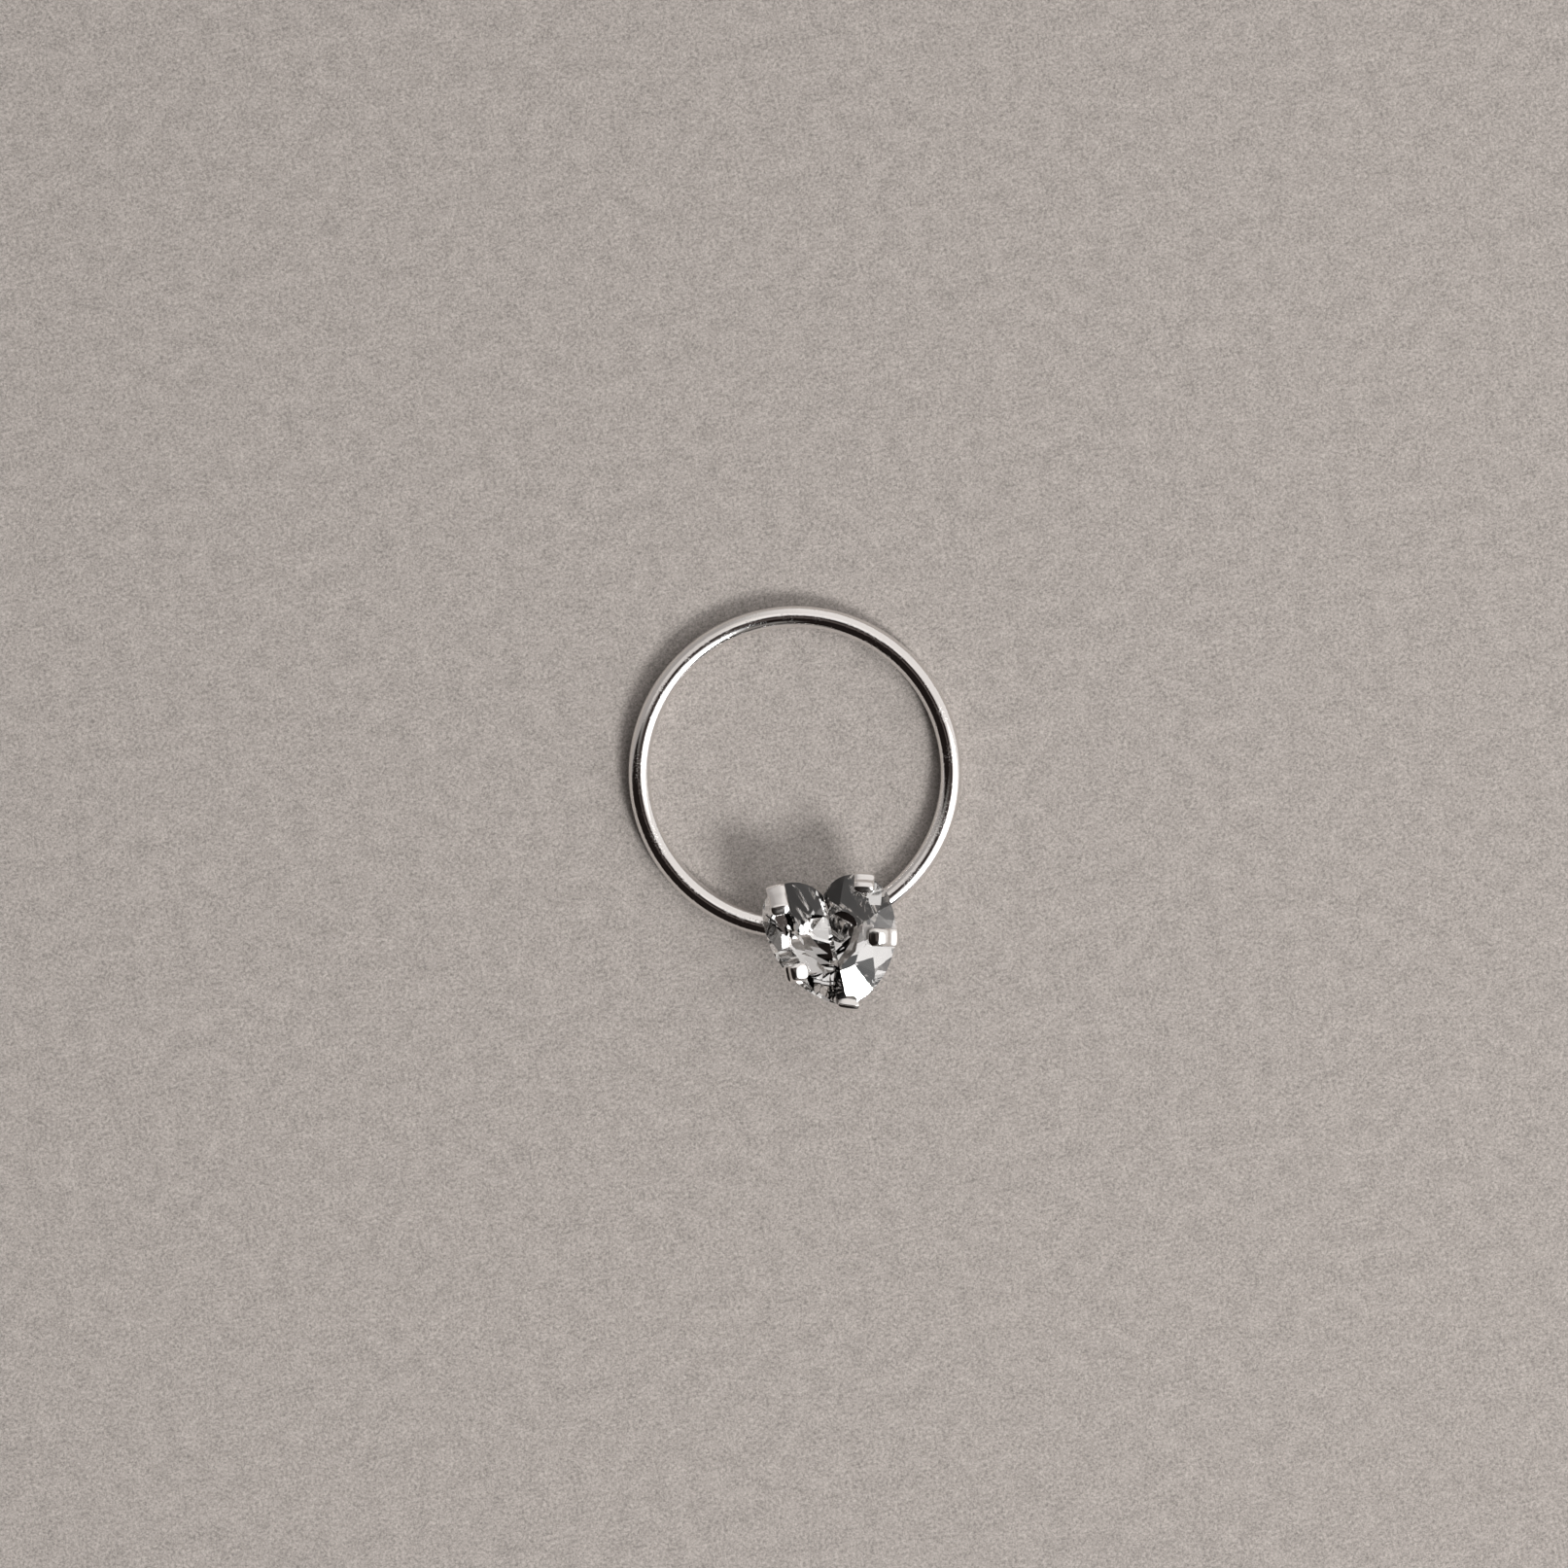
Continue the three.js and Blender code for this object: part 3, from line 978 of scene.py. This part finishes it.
@dataclass
class ClawSetting:
    """The metal that holds the stone: a barrel between the wire's ends, a rail and claws.

    Attributes:
        stone: The stone that it holds.
        hoop: The wire that it closes.
        gap: The clearance between the stone and the metal, and in the barrel's cups.
        barrel_length: The barrel's length between the wire's ends.
        barrel_radius: Its radius.
        barrel_chamfer: How far the corners round its mouths are cut off.
        barrel_rounding: How far its edges are rounded.
        barrel_rounding_steps: How many faces go round each of them.
        barrel_sides: How many faces go round it.
        cup_steps: How many go from the bottom of a cup to its mouth.
        rail_outer: The rail's outer outline, as a share of the girdle's.
        rail_inner: Its inner outline.
        rail_height: Its height.
        rail_rounding: How far its upper and lower edges are rounded.
        rail_rounding_steps: How many faces go round each of them.
        rail_steps: How many edges a whole circle of it would have.
        claw_thickness: A claw's thickness.
        claw_root: How far inside the girdle's edge a claw starts, on the rail.
        knee_drop: How far under the girdle it turns upright.
        knee_bend: The radius of that turn.
        claw_bend: The radius of its bend over the girdle.
        bend_steps: How many steps each of the two bends has.
        fold_steps: How many there are from the upper bend to the end.
        fold_turn: They close up as a sine does, over this much of a turn, in degrees.
        claw_rounding: How long its rounded end is.
        end_powers: How square the end is from above: the powers of a rounded corner.
        seat_depth: How deep the girdle sits in it.
        seat_out: How far outside the girdle's edge the seat's wall is.
        section_sides: How many faces go round its section.
        section_power: How square its section is: 1 is an ellipse, 0 a box.
        claws: The claws.
    """

    stone: HeartStone
    hoop: WireHoop
    gap: float = 0.05
    barrel_length: float = 3.2
    barrel_radius: float = 0.75
    barrel_chamfer: float = 0.08
    barrel_rounding: float = 0.05
    barrel_rounding_steps: int = 3
    barrel_sides: int = 64
    cup_steps: int = 10
    rail_outer: float = 0.72
    rail_inner: float = 0.5
    rail_height: float = 0.4
    rail_rounding: float = 0.08
    rail_rounding_steps: int = 4
    rail_steps: int = 120
    claw_thickness: float = 0.26
    claw_root: float = 1.75
    knee_drop: float = 0.2
    knee_bend: float = 0.6
    claw_bend: float = 0.3
    bend_steps: int = 10
    fold_steps: int = 28
    fold_turn: float = 89.0
    claw_rounding: float = 0.3
    end_powers: tuple = (2.4, 0.42)
    seat_depth: float = 0.1
    seat_out: float = 0.01
    section_sides: int = 36
    section_power: float = 0.7
    claws: Sequence[Claw] = CLAWS

    @property
    def rail_low(self) -> float:
        """The rail's underside, just over the wire."""
        return 2 * self.hoop.wire_radius + self.gap

    def build_claw(self, claw: Claw, placement: Matrix) -> bpy.types.Object:
        """Makes one claw, flat on the facet under its fold.

        Args:
            claw: Which one.
            placement: From the head's frame to the row's.

        Returns:
            The claw, a crowned strip with a rounded end.
        """
        stone, half = self.stone, self.claw_thickness / 2
        foot = stone.outline.edge(claw.at)
        stand = Matrix.Translation(foot) @ Matrix.Rotation(math.radians(claw.facing), 4, "Z")
        point, normal = stone.crown_plane(claw.facet)
        point = stand.inverted() @ point
        normal = stand.to_3x3().inverted() @ normal
        level = point.dot(normal) + self.gap + half

        def on_crown(inward: float) -> Vector:
            """The strip's middle over the crown, that far in from the girdle's edge."""
            return Vector((-inward, 0.0, (level + normal.x * inward) / normal.z))

        out = self.gap + half - self.seat_depth
        corners = [
            Vector((-self.claw_root, 0.0, self.rail_low + half)),
            Vector((out, 0.0, stone.girdle_low - self.knee_drop)),
            on_crown(-out),
            on_crown(claw.fold),
        ]
        path = rounded_path(corners, (self.knee_bend, self.claw_bend), self.bend_steps)
        mesh = bmesh.new()
        self.sweep_strip(mesh, path, claw)
        self.cut_seat(mesh)
        roll = Matrix.Identity(4)
        roll[2][1] = -normal.y / normal.z
        return place(mesh, claw.name, placement @ stand @ roll, Shading.SMOOTH)

    def sweep_strip(self, mesh: bmesh.types.BMesh, path: Sequence[tuple], claw: Claw) -> None:
        """Draws a crowned strip along a path, with a bead on its last stretch.

        Args:
            mesh: The bmesh to draw in.
            path: Points with directions, in the XZ plane.
            claw: The claw, for its width and its bead.
        """
        half = self.claw_thickness / 2
        # Each station has its middle, its direction, its share of the full width, and how
        # high it stands over the middle and reaches under it.
        stations = [(point, here, 1.0, half, half) for point, here in path[:-1]]
        start, (end, way) = path[-2][0], path[-1]
        length = (end - start).length
        inner_power, outer_power = self.end_powers
        for step in range(1, self.fold_steps + 1):
            share = math.sin(math.radians(self.fold_turn * step / self.fold_steps))
            bead = self.bead_height(share, claw)
            late = max(0.0, 1 - (1 - share) * length / self.claw_rounding)
            close = (1 - late**2) ** 0.5
            breadth = (1 - late**inner_power) ** outer_power
            # The bead grows softly out of the strip's own thickness.
            above = (half**4 + bead**4) ** 0.25 * close
            stations.append((start.lerp(end, share), way, breadth, above, half * close))
        frames = []
        for point, here, breadth, above, below in stations:
            under = here.cross(Vector((0.0, 1.0, 0.0)))
            frame = Matrix.Translation(point + (below - above) / 2 * under) @ Matrix(
                (
                    (0.0, under.x, here.x, 0.0),
                    (1.0, under.y, here.y, 0.0),
                    (0.0, under.z, here.z, 0.0),
                    (0.0, 0.0, 0.0, 1.0),
                )
            )
            size = Vector((breadth * claw.width / 2, (above + below) / 2, 1.0, 1.0))
            frames.append(frame @ Matrix.Diagonal(size))
        bmesh.ops.create_circle(mesh, cap_ends=True, segments=self.section_sides, radius=1.0)
        for vert in mesh.verts:
            vert.co.x = math.copysign(abs(vert.co.x) ** self.section_power, vert.co.x)
            vert.co.y = math.copysign(abs(vert.co.y) ** self.section_power, vert.co.y)
        bmesh.ops.transform(mesh, matrix=frames[0], verts=mesh.verts[:])
        face = mesh.faces[:]
        for near, far in zip(frames, frames[1:]):
            grown = bmesh.ops.extrude_face_region(mesh, geom=face)["geom"]
            bmesh.ops.delete(mesh, geom=face, context="FACES_KEEP_BOUNDARY")
            face = kind_of(grown, bmesh.types.BMFace)
            moved = kind_of(grown, bmesh.types.BMVert)
            bmesh.ops.transform(mesh, matrix=far @ near.inverted(), verts=moved)
        bmesh.ops.holes_fill(mesh, edges=[e for e in mesh.edges if e.is_boundary], sides=0)
        bmesh.ops.recalc_face_normals(mesh, faces=mesh.faces[:])

    @staticmethod
    def bead_height(share: float, claw: Claw) -> float:
        """How high a claw's bead stands over the strip's middle.

        Args:
            share: The place along the fold, from 0 at its bend to 1 at its end.
            claw: The claw.

        Returns:
            The height, which rises from 0 to the bead's and falls to 0 again.
        """
        if share < claw.ridge:
            return claw.bead * math.sin(share / claw.ridge * math.pi / 2)
        return claw.bead * math.cos((share - claw.ridge) / (1 - claw.ridge) * math.pi / 2)

    def cut_seat(self, mesh: bmesh.types.BMesh) -> None:
        """Thins a claw on its inside, so that it clears the girdle.

        Args:
            mesh: The claw, in its own frame.
        """
        low = self.stone.girdle_low - self.seat_depth
        high = self.stone.girdle_top + self.seat_depth
        for vert in mesh.verts:
            if low < vert.co.z < high and -self.gap <= vert.co.x < self.seat_out:
                vert.co.x = self.seat_out

    def build_rail(self, placement: Matrix) -> bpy.types.Object:
        """Makes the open heart that the claws stand on.

        Args:
            placement: From the head's frame to the row's.

        Returns:
            The rail.
        """
        mesh = bmesh.new()
        chain = self.stone.outline.trace(mesh, self.rail_outer, self.rail_steps)
        edges = kind_of(chain, bmesh.types.BMEdge)
        inner = bmesh.ops.extrude_edge_only(mesh, edges=edges)["geom"]
        share = self.rail_inner / self.rail_outer
        moved = kind_of(inner, bmesh.types.BMVert)
        bmesh.ops.scale(mesh, vec=(share, share, 1.0), verts=moved)
        mirror_across_x(mesh)
        raised = bmesh.ops.extrude_face_region(mesh, geom=mesh.faces[:])["geom"]
        lifted = kind_of(raised, bmesh.types.BMVert)
        bmesh.ops.translate(mesh, vec=(0, 0, self.rail_height), verts=lifted)
        bmesh.ops.translate(mesh, vec=(0, 0, self.rail_low), verts=mesh.verts[:])
        close_up(mesh)
        rims = [
            edge
            for edge in mesh.edges
            if edge.calc_face_angle() > math.radians(SHARP)
            and abs(edge.verts[0].co.z - edge.verts[1].co.z) < MERGE
        ]
        bmesh.ops.bevel(
            mesh,
            geom=rims,
            offset=self.rail_rounding,
            affect="EDGES",
            segments=self.rail_rounding_steps,
            profile=0.5,
            material=-1,
        )
        return place(mesh, "gallery_rail", placement @ self.stone.outline.skew, Shading.SMOOTH)

    def build_barrel(self, placement: Matrix) -> bpy.types.Object:
        """Makes the barrel between the wire's ends.

        Args:
            placement: From the hoop's frame to the row's.

        Returns:
            The barrel, with a cup in each end and a flat underneath.
        """
        wire = self.hoop.wire_radius
        cup_radius = wire + self.gap
        centre = Vector((self.hoop.end_x, 0.0, 0.0))
        bottom = centre - Vector((cup_radius, 0.0, 0.0))
        half = self.barrel_length / 2
        mouth = math.acos((self.hoop.end_x - half) / cup_radius)
        mesh = bmesh.new()
        start = bmesh.ops.create_vert(mesh, co=bottom)["vert"]
        last = bmesh.ops.spin(
            mesh, geom=start, cent=centre, axis=(0, 1, 0), angle=mouth, steps=self.cup_steps
        )["geom_last"]
        corners = (
            Vector((half, 0.0, self.barrel_radius - self.barrel_chamfer)),
            Vector((half - self.barrel_chamfer, 0.0, self.barrel_radius)),
            Vector((0.0, 0.0, self.barrel_radius)),
        )
        tail = kind_of(last, bmesh.types.BMVert)[0]
        for corner in corners:
            new = mesh.verts.new(corner)
            mesh.edges.new((tail, new))
            tail = new
        bmesh.ops.spin(
            mesh,
            geom=every(mesh),
            cent=(0, 0, 0),
            axis=(1, 0, 0),
            angle=math.tau,
            steps=self.barrel_sides,
            use_merge=True,
        )
        mirror_across_x(mesh)
        close_up(mesh)
        cut_flat(mesh, Vector((0, 0, -wire)), -Z_AXIS)
        close_up(mesh)
        y = -math.sqrt(self.hoop.ring_radius**2 - self.hoop.end_x**2)
        here = placement @ Matrix.Translation((0.0, y, wire))
        piece = place(mesh, "barrel", here, Shading.SMOOTH)
        round_edges(piece, self.barrel_rounding, self.barrel_rounding_steps)
        return piece


# ---- Studio --------------------------------------------------------------------------------


@dataclass(frozen=True)
class Glow:
    """A round bright part of the room.

    Attributes:
        azimuth: Its direction, in degrees from the view's right.
        height: Its middle's height above the horizon, in degrees.
        reach: From its middle to its edge, in degrees.
        softness: How far its edge fades to each side, in degrees.
        colour: Its light.
    """

    azimuth: float
    height: float
    reach: float
    softness: float
    colour: tuple


GLOWS = (
    Glow(65.0, -30.0, 116.0, 4.0, (0.35, 0.33, 0.32)),
    Glow(38.0, 14.0, 62.0, 16.0, (0.45, 0.44, 0.43)),
    Glow(333.0, 41.0, 30.0, 5.0, (1.3, 1.3, 1.3)),
    Glow(132.0, 58.0, 18.0, 7.0, (0.28, 0.27, 0.26)),
    Glow(82.0, 70.0, 12.0, 5.0, (0.22, 0.22, 0.22)),
    Glow(285.0, 30.0, 10.0, 8.0, (0.2, 0.19, 0.18)),
)


@dataclass(frozen=True)
class Lamp:
    """A large soft round lamp that faces the hoop.

    Attributes:
        name: What it is called.
        azimuth: Its direction, in degrees from the view's right.
        height: Its height above the horizon, in degrees.
        distance: How far it stands, in metres.
        size: How wide it is, in metres.
        power: Its power, in watts.
        mirrored: Whether steel and stone show it.
        colour: The colour of its light.
    """

    name: str
    azimuth: float
    height: float
    distance: float
    size: float
    power: float
    mirrored: bool
    colour: tuple = (1.0, 0.98, 0.96)


LAMPS = (
    Lamp("key_light", 309.0, 40.0, distance=0.9, size=0.28, power=9.0, mirrored=True),
    Lamp("fill_light", 35.0, 45.0, distance=0.3, size=0.3, power=0.26, mirrored=False),
)


@dataclass
class Studio:
    """Floor, light and camera around the hoop.

    Attributes:
        hoop_middle: The hoop's middle in the row's frame, in metres.
        paper_reach: From the paper's middle to its edges, in millimetres.
        roll: How far the view is turned about the vertical, in degrees.
        field: The width that the camera sees, in metres.
        aim: What it looks at, from the hoop's middle, along the view's right and up.
        lens: Focal length in millimetres.
        sensor: Sensor width in millimetres.
        clip: The nearest and the furthest that the camera sees, in metres.
        lamps: The key light and the fill light.
        gloom: The room's colour away from every glow.
        glows: The room's bright parts.
        hood: The colour of the dark hood that hangs overhead, round the camera.
        hood_place: The azimuth and height of its middle, in degrees.
        hood_reach: How far it spreads from there, in degrees.
        port: The colour of the darker port straight overhead.
        port_reach: How far the port spreads, in degrees.
        shade_softness: How far the edges of hood and port fade to each side, in degrees.
        backdrop: The plain colour that is seen behind everything.
    """

    hoop_middle: Vector
    paper_reach: float = 2000.0
    roll: float = -12.8
    field: float = 0.0865
    aim: tuple = (-0.00062, -0.00064)
    lens: float = 300.0
    sensor: float = 36.0
    clip: tuple = (0.01, 5.0)
    lamps: Sequence[Lamp] = LAMPS
    gloom: tuple = (0.012, 0.009, 0.008)
    glows: Sequence[Glow] = GLOWS
    hood: tuple = (0.085, 0.07, 0.065)
    hood_place: tuple = (250.0, 85.0)
    hood_reach: float = 15.0
    port: tuple = (0.015, 0.011, 0.01)
    port_reach: float = 5.0
    shade_softness: float = 2.0
    backdrop: tuple = (0.62, 0.58, 0.55)

    def towards(self, azimuth: float, height: float) -> Vector:
        """The unit vector to an azimuth from the view's right and a height, in degrees."""
        rise = math.radians(height)
        return math.cos(rise) * heading(azimuth + self.roll) + math.sin(rise) * Z_AXIS

    def build_floor(self) -> bpy.types.Object:
        """Lays the paper that the hoop rests on.

        Returns:
            The paper.
        """
        mesh = bmesh.new()
        bmesh.ops.create_grid(mesh, x_segments=1, y_segments=1, size=self.paper_reach)
        floor = place(mesh, "paper_floor", Matrix(), Shading.FLAT)
        floor.data.materials.append(GrainedPaper().make("grained_paper"))
        return floor

    def build_camera(self) -> bpy.types.Object:
        """Hangs the camera straight above the hoop.

        Returns:
            The camera.
        """
        data = bpy.data.cameras.new("camera")
        data.lens, data.sensor_width = self.lens, self.sensor
        data.clip_start, data.clip_end = self.clip
        camera = bpy.data.objects.new("camera", data)
        bpy.context.scene.collection.objects.link(camera)
        target = self.hoop_middle + self.aim[0] * heading(self.roll)
        target = target + self.aim[1] * heading(self.roll + 90)
        camera.location = target + self.field * self.lens / self.sensor * Z_AXIS
        camera.rotation_euler = (0.0, 0.0, math.radians(self.roll))
        bpy.context.scene.camera = camera
        return camera

    def build_lamp(self, lamp: Lamp) -> bpy.types.Object:
        """Sets up a lamp.

        Args:
            lamp: Which one.

        Returns:
            The light, which the camera itself doesn't see.
        """
        data = bpy.data.lights.new(lamp.name, "AREA")
        data.shape = "DISK"
        data.size = lamp.size
        data.energy = lamp.power
        data.color = lamp.colour
        light = bpy.data.objects.new(lamp.name, data)
        bpy.context.scene.collection.objects.link(light)
        towards = self.towards(lamp.azimuth, lamp.height)
        light.location = self.hoop_middle + lamp.distance * towards
        light.rotation_euler = towards.to_track_quat("Z", "Y").to_euler()
        light.visible_camera = False
        light.visible_glossy = light.visible_transmission = lamp.mirrored
        return light

    @staticmethod
    def disc(
        sheet: NodeSheet, way: bpy.types.NodeSocket, middle: Vector, reach: float, softness: float
    ) -> bpy.types.NodeSocket:
        """A value that is 1 inside a round part of the sky and 0 outside it.

        Args:
            sheet: The world's node tree.
            way: The direction that is looked in.
            middle: The direction of its middle.
            reach: From its middle to its edge, in degrees.
            softness: How far its edge fades to each side, in degrees.

        Returns:
            The value.
        """
        nearness = sheet.add(
            "ShaderNodeVectorMath", {0: way, 1: middle}, operation="DOT_PRODUCT"
        ).outputs["Value"]
        rim = (math.cos(math.radians(reach + softness)), math.cos(math.radians(reach - softness)))
        return sheet.stretch(nearness, rim, interpolation_type="SMOOTHSTEP")

    def build_surround(self) -> bpy.types.World:
        """Makes the room: dark, with soft bright parts, and plain where it is seen itself.

        Returns:
            The world.
        """
        world = bpy.data.worlds.new("studio_surround")
        world.use_nodes = True
        sheet = NodeSheet(world.node_tree)
        way = sheet.add("ShaderNodeTexCoord").outputs["Generated"]
        room = self.gloom
        for glow in self.glows:
            middle = self.towards(glow.azimuth, glow.height)
            edge = self.disc(sheet, way, middle, glow.reach, glow.softness)
            room = sheet.add(
                "ShaderNodeVectorMath",
                {0: edge, 1: glow.colour, 2: room},
                operation="MULTIPLY_ADD",
            ).outputs["Vector"]
        shades = (
            (self.towards(*self.hood_place), self.hood_reach, self.hood),
            (Z_AXIS, self.port_reach, self.port),
        )
        for middle, reach, colour in shades:
            inside = self.disc(sheet, way, middle, reach, self.shade_softness)
            room = sheet.mix(inside, room, colour)
        seen = sheet.add("ShaderNodeLightPath").outputs["Is Camera Ray"]
        shown = sheet.mix(seen, room, self.backdrop)
        light = sheet.add("ShaderNodeBackground", {"Color": shown, "Strength": 1.0})
        sheet.add("ShaderNodeOutputWorld", {"Surface": light.outputs["Background"]})
        bpy.context.scene.world = world
        return world


# ---- Assembly ------------------------------------------------------------------------------


def dress(piece: bpy.types.Object, material: bpy.types.Material, node: str) -> None:
    """Gives a piece its finish and says what it stands for.

    Args:
        piece: The piece.
        material: Its finish.
        node: The CAD node that it stands for.
    """
    piece.data.materials.append(material)
    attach(piece, "root")
    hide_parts(node)
    log.info("%s: %d vertices, for %s", piece.name, len(piece.data.vertices), node)


def main() -> None:
    """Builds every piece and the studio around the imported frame."""
    logging.basicConfig(level=logging.INFO, format="%(name)s %(message)s")
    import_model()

    hoop = WireHoop()
    stone = HeartStone(HeartOutline())
    setting = ClawSetting(stone, hoop)

    low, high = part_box("hoop")
    outer = (hoop.ring_radius + hoop.wire_radius) * MM
    middle = Vector(((low.x + high.x) / 2, high.y - outer, low.z))
    on_hoop = Matrix.Translation(middle / MM)
    on_head = on_hoop @ Matrix.Translation((0.0, -HEAD_DISTANCE, 0.0))

    steel = PolishedSteel().make("polished_steel")
    setting_steel = PolishedSteel(polish=0.07, haze=0.1, nick_depth=0.0015).make("setting_steel")
    crystal = ClearCrystal().make("clear_crystal")

    dress(hoop.build(on_hoop), steel, "hoop")
    dress(stone.build(on_head), crystal, "stone")
    dress(setting.build_barrel(on_hoop), setting_steel, "setting")
    dress(setting.build_rail(on_head), setting_steel, "setting")
    for claw in setting.claws:
        dress(setting.build_claw(claw, on_head), setting_steel, "setting")

    studio = Studio(middle)
    studio.build_floor()
    studio.build_camera()
    for lamp in studio.lamps:
        studio.build_lamp(lamp)
    studio.build_surround()
    bpy.context.scene.view_settings.view_transform = "Standard"


if __name__ == "__main__":
    main()
